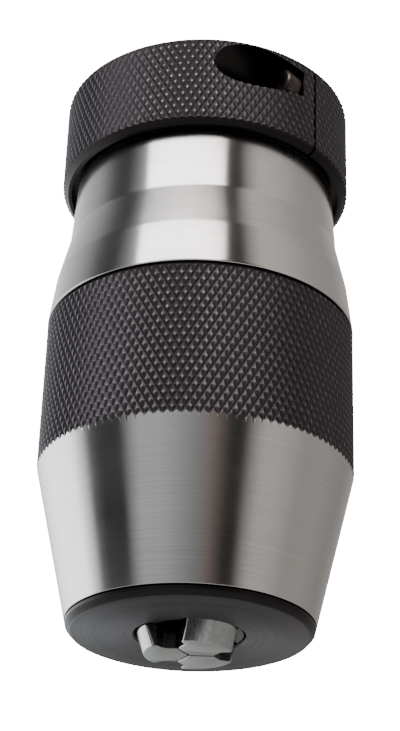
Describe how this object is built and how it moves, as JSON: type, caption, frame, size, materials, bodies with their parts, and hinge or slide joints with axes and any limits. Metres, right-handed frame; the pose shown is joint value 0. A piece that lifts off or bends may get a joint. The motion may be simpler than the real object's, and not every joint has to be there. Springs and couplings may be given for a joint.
{
  "type": "keyless drill chuck",
  "caption": "Self-tightening drill chuck with diamond-knurled hood and clamp ring, satin sleeve, sliding jaws and a taper socket.",
  "frame": {"origin": "centre of the mouth of the taper socket, on the body's back face", "axes": "+Z along the chuck's axis towards the machine spindle, so the jaws point down; +X and +Y across it, with the gap between two jaws facing +X"},
  "size_m": [0.05, 0.05, 0.0963],
  "materials": {
    "satin_steel": "turned satin, fine rings round the axis",
    "black_steel": "black oxide over a diamond knurl",
    "grey_steel": "turned, dark oxide",
    "ground_steel": "hardened and ground",
    "alloy_steel": "bright turned alloy steel",
    "bearing_steel": "hardened and polished",
    "brass": "machined",
    "rubber": "matt black nitrile",
    "spring_steel": "blued"
  },
  "bodies": {
    "body": {"body": "grey_steel", "socket_plug": "grey_steel", "clamp_ring": "black_steel", "clamp_screw": "alloy_steel", "lower_race": "bearing_steel"},
    "sleeve": {"upper_sleeve": "satin_steel", "hood": "black_steel", "nose_cap": "grey_steel", "jaw_guide": "grey_steel", "upper_race": "bearing_steel", "dust_seal": "rubber", "drag_spring": "spring_steel"},
    "bearing": {"ball_cage": "brass", "ball_01": "bearing_steel", "ball_02": "bearing_steel", "ball_03": "bearing_steel", "ball_04": "bearing_steel", "ball_05": "bearing_steel", "ball_06": "bearing_steel", "ball_07": "bearing_steel", "ball_08": "bearing_steel", "ball_09": "bearing_steel", "ball_10": "bearing_steel", "ball_11": "bearing_steel", "ball_12": "bearing_steel"},
    "spindle": {"spindle": "alloy_steel"},
    "jaw_1": {"jaw_1": "ground_steel"},
    "jaw_2": {"jaw_2": "ground_steel"},
    "jaw_3": {"jaw_3": "ground_steel"}
  },
  "joints": [
    {"name": "sleeve_turn", "type": "hinge", "parent": "body", "child": "sleeve", "pos_m": [0, 0, -0.045], "axis": [0, 0, -1], "range_deg": [0, 2520]},
    {"name": "ball_cage_turn", "type": "hinge", "parent": "body", "child": "bearing", "pos_m": [0, 0, -0.0287], "axis": [0, 0, -1], "range_deg": [0, 1260]},
    {"name": "spindle_rise", "type": "slide", "parent": "sleeve", "child": "spindle", "axis": [0, 0, 1], "range_m": [0, 0.0175]},
    {"name": "jaw_1_slide", "type": "slide", "parent": "sleeve", "child": "jaw_1", "axis": [0.171, 0.2962, 0.9397], "range_m": [0, 0.01862]},
    {"name": "jaw_2_slide", "type": "slide", "parent": "sleeve", "child": "jaw_2", "axis": [-0.342, 0, 0.9397], "range_m": [0, 0.01862]},
    {"name": "jaw_3_slide", "type": "slide", "parent": "sleeve", "child": "jaw_3", "axis": [0.171, -0.2962, 0.9397], "range_m": [0, 0.01862]}
  ],
  "couplings": [
    {"joint": "ball_cage_turn", "follows": "sleeve_turn", "ratio": 0.5},
    {"joint": "spindle_rise", "follows": "sleeve_turn", "m_per_rad": 0.00039789},
    {"joint": "jaw_1_slide", "follows": "sleeve_turn", "m_per_rad": 0.00042342},
    {"joint": "jaw_2_slide", "follows": "sleeve_turn", "m_per_rad": 0.00042342},
    {"joint": "jaw_3_slide", "follows": "sleeve_turn", "m_per_rad": 0.00042342}
  ]
}
